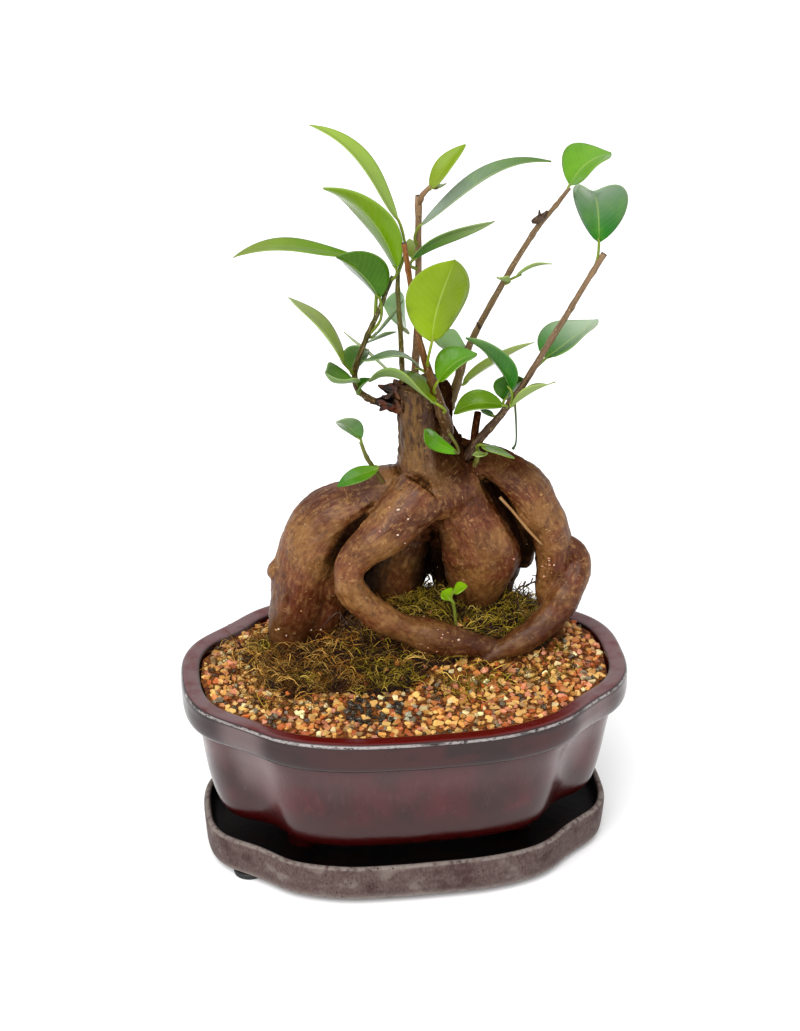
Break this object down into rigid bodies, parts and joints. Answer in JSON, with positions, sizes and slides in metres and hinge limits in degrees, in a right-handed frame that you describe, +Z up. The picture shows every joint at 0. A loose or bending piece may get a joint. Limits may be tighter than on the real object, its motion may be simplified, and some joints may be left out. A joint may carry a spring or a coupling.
{
  "type": "potted ginseng ficus",
  "caption": "Small fig tree with thick looping roots and a few leafy shoots, standing in gravel and moss in a four-lobed glazed pot on a matching saucer.",
  "frame": {"origin": "on the table under the middle of the pot", "axes": "+X along the pot's length to the right as seen from its front, +Y away from the front, +Z up"},
  "size_m": [0.1652, 0.117, 0.2736],
  "materials": {
    "saucer_glaze": "glazed stoneware, dark maroon inside and mottled grey brown outside",
    "pad": "black rubber",
    "pot_glaze": "glossy oxblood glaze that breaks to grey at the edges",
    "soil": "dark potting soil",
    "gravel": "mixed tan, pink and orange grit",
    "moss": "olive and brown moss strands",
    "bark": "smooth red brown to grey brown bark with pale flecks",
    "leaf": "glossy green leaves on brown twigs"
  },
  "bodies": {
    "root": {"saucer": "saucer_glaze", "saucer_pad_1": "pad", "saucer_pad_2": "pad", "saucer_pad_3": "pad", "saucer_pad_4": "pad", "pot": "pot_glaze", "potting_soil": "soil", "gravel": "gravel", "moss": "moss", "trunk_and_roots": "bark", "far_left_shoot": "leaf", "left_upright_shoot": "leaf", "front_cut_shoot": "leaf", "tall_upright_shoot": "leaf", "right_tall_shoot": "leaf", "right_low_shoot": "leaf", "low_left_twig": "leaf", "low_right_leaves": "leaf", "seedling": "leaf"}
  },
  "joints": []
}
